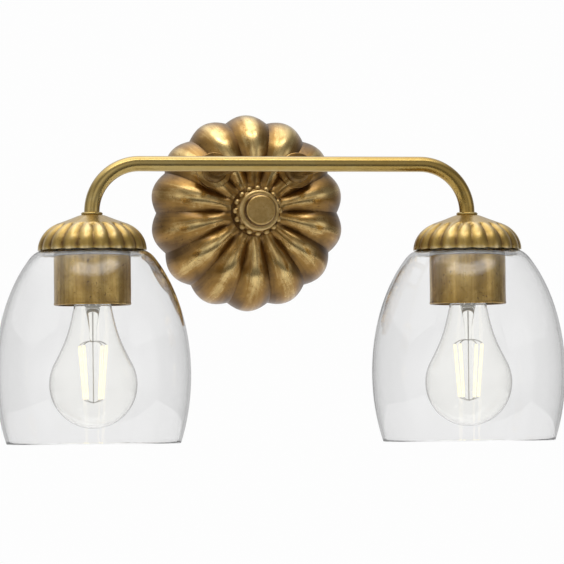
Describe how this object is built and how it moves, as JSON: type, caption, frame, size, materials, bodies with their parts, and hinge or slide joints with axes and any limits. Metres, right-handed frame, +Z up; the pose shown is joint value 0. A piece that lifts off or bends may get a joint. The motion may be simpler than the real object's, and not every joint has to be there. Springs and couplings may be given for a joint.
{
  "type": "vanity light bar",
  "caption": "Wall vanity light bar: lobed round wall plate, bent tube arm on posts, and clear glass bell shades under fluted caps, each round a screw-in filament lamp.",
  "frame": {"origin": "middle of the mounting strap's back face, on the wall plane, on the axis of the threaded nipple", "axes": "+X to the right along the arm tube, +Y into the wall, +Z up; the front faces -Y"},
  "size_m": [0.396, 0.1785, 0.231],
  "materials": {
    "aged_brass_plate": "satin",
    "aged_brass_cap": "satin",
    "aged_brass_cup": "satin",
    "rubbed_brass_knob": "satin",
    "rubbed_brass_arm": "satin",
    "zinc_steel": "satin",
    "green_steel": "satin",
    "bare_copper": "satin",
    "glazed_porcelain": "gloss",
    "contact_brass": "satin",
    "lead_insulation": "matte",
    "gasket_rubber": "matte",
    "shade_glass": "polished",
    "lamp_cap_metal": "satin",
    "lamp_insulator": "gloss",
    "lamp_glass": "polished",
    "lamp_stem_glass": "polished",
    "lamp_filament": "matte",
    "lamp_support_wire": "satin"
  },
  "bodies": {
    "fixture": {"mounting_strap": "zinc_steel", "ground_screw": "green_steel", "ground_wire": "bare_copper", "threaded_nipple": "zinc_steel", "nipple_lock_nut": "zinc_steel", "backplate": "aged_brass_plate", "post_left": "rubbed_brass_arm", "post_right": "rubbed_brass_arm", "post_collars": "rubbed_brass_arm", "post_nuts": "zinc_steel", "arm_tube": "rubbed_brass_arm", "arm_collar_left": "rubbed_brass_arm", "arm_collar_right": "rubbed_brass_arm", "fluted_cap_left": "aged_brass_cap", "fluted_cap_right": "aged_brass_cap", "cap_lock_nut_left": "zinc_steel", "cap_lock_nut_right": "zinc_steel", "holder_cap_left": "zinc_steel", "holder_cap_right": "zinc_steel", "lamp_holder_left": "glazed_porcelain", "lamp_holder_right": "glazed_porcelain", "terminal_screws_left": "contact_brass", "terminal_screws_right": "contact_brass", "centre_contact_left": "contact_brass", "centre_contact_right": "contact_brass", "screw_shell_left": "contact_brass", "screw_shell_right": "contact_brass", "lead_wires_left": "lead_insulation", "lead_wires_right": "lead_insulation", "upper_gasket_left": "gasket_rubber", "upper_gasket_right": "gasket_rubber"},
    "rosette": {"beaded_rosette": "rubbed_brass_knob"},
    "knob": {"cap_nut_knob": "rubbed_brass_knob"},
    "shade_left": {"glass_shade_left": "shade_glass", "lower_gasket_left": "gasket_rubber"},
    "cup_left": {"socket_cup_left": "aged_brass_cup"},
    "lamp_cap_left": {"bulb_base_left": "lamp_cap_metal", "bulb_insulator_left": "lamp_insulator", "bulb_tip_left": "lamp_cap_metal"},
    "lamp_left": {"bulb_glass_left": "lamp_glass", "bulb_stem_left": "lamp_stem_glass", "bulb_filaments_left": "lamp_filament", "bulb_leads_left": "lamp_support_wire"},
    "shade_right": {"glass_shade_right": "shade_glass", "lower_gasket_right": "gasket_rubber"},
    "cup_right": {"socket_cup_right": "aged_brass_cup"},
    "lamp_cap_right": {"bulb_base_right": "lamp_cap_metal", "bulb_insulator_right": "lamp_insulator", "bulb_tip_right": "lamp_cap_metal"},
    "lamp_right": {"bulb_glass_right": "lamp_glass", "bulb_stem_right": "lamp_stem_glass", "bulb_filaments_right": "lamp_filament", "bulb_leads_right": "lamp_support_wire"}
  },
  "joints": [
    {"name": "rosette_slide", "type": "slide", "parent": "fixture", "child": "rosette", "axis": [0, -1, 0], "range_m": [0, 0.006]},
    {"name": "knob_turn", "type": "hinge", "parent": "rosette", "child": "knob", "pos_m": [0, -0.047, 0], "axis": [0, -1, 0], "range_deg": [0, 2161]},
    {"name": "shade_left_drop", "type": "slide", "parent": "fixture", "child": "shade_left", "axis": [0, 0, -1], "range_m": [0, 0.008]},
    {"name": "cup_left_turn", "type": "hinge", "parent": "shade_left", "child": "cup_left", "pos_m": [-0.1315, -0.112, -0.05], "axis": [0, 0, -1], "range_deg": [0, 1441]},
    {"name": "lamp_left_drop", "type": "slide", "parent": "fixture", "child": "lamp_cap_left", "axis": [0, 0, -1], "range_m": [0, 0.0254]},
    {"name": "lamp_left_turn", "type": "hinge", "parent": "lamp_cap_left", "child": "lamp_left", "pos_m": [-0.1315, -0.112, -0.1], "axis": [0, 0, -1], "range_deg": [0, 2521]},
    {"name": "shade_right_drop", "type": "slide", "parent": "fixture", "child": "shade_right", "axis": [0, 0, -1], "range_m": [0, 0.008]},
    {"name": "cup_right_turn", "type": "hinge", "parent": "shade_right", "child": "cup_right", "pos_m": [0.1315, -0.112, -0.05], "axis": [0, 0, -1], "range_deg": [0, 1441]},
    {"name": "lamp_right_drop", "type": "slide", "parent": "fixture", "child": "lamp_cap_right", "axis": [0, 0, -1], "range_m": [0, 0.0254]},
    {"name": "lamp_right_turn", "type": "hinge", "parent": "lamp_cap_right", "child": "lamp_right", "pos_m": [0.1315, -0.112, -0.1], "axis": [0, 0, -1], "range_deg": [0, 2521]}
  ],
  "couplings": [
    {"joint": "knob_turn", "follows": "rosette_slide", "rad_per_m": 6283.2},
    {"joint": "cup_left_turn", "follows": "shade_left_drop", "rad_per_m": 3141.6},
    {"joint": "lamp_left_turn", "follows": "lamp_left_drop", "rad_per_m": 1731.4},
    {"joint": "cup_right_turn", "follows": "shade_right_drop", "rad_per_m": 3141.6},
    {"joint": "lamp_right_turn", "follows": "lamp_right_drop", "rad_per_m": 1731.4}
  ]
}
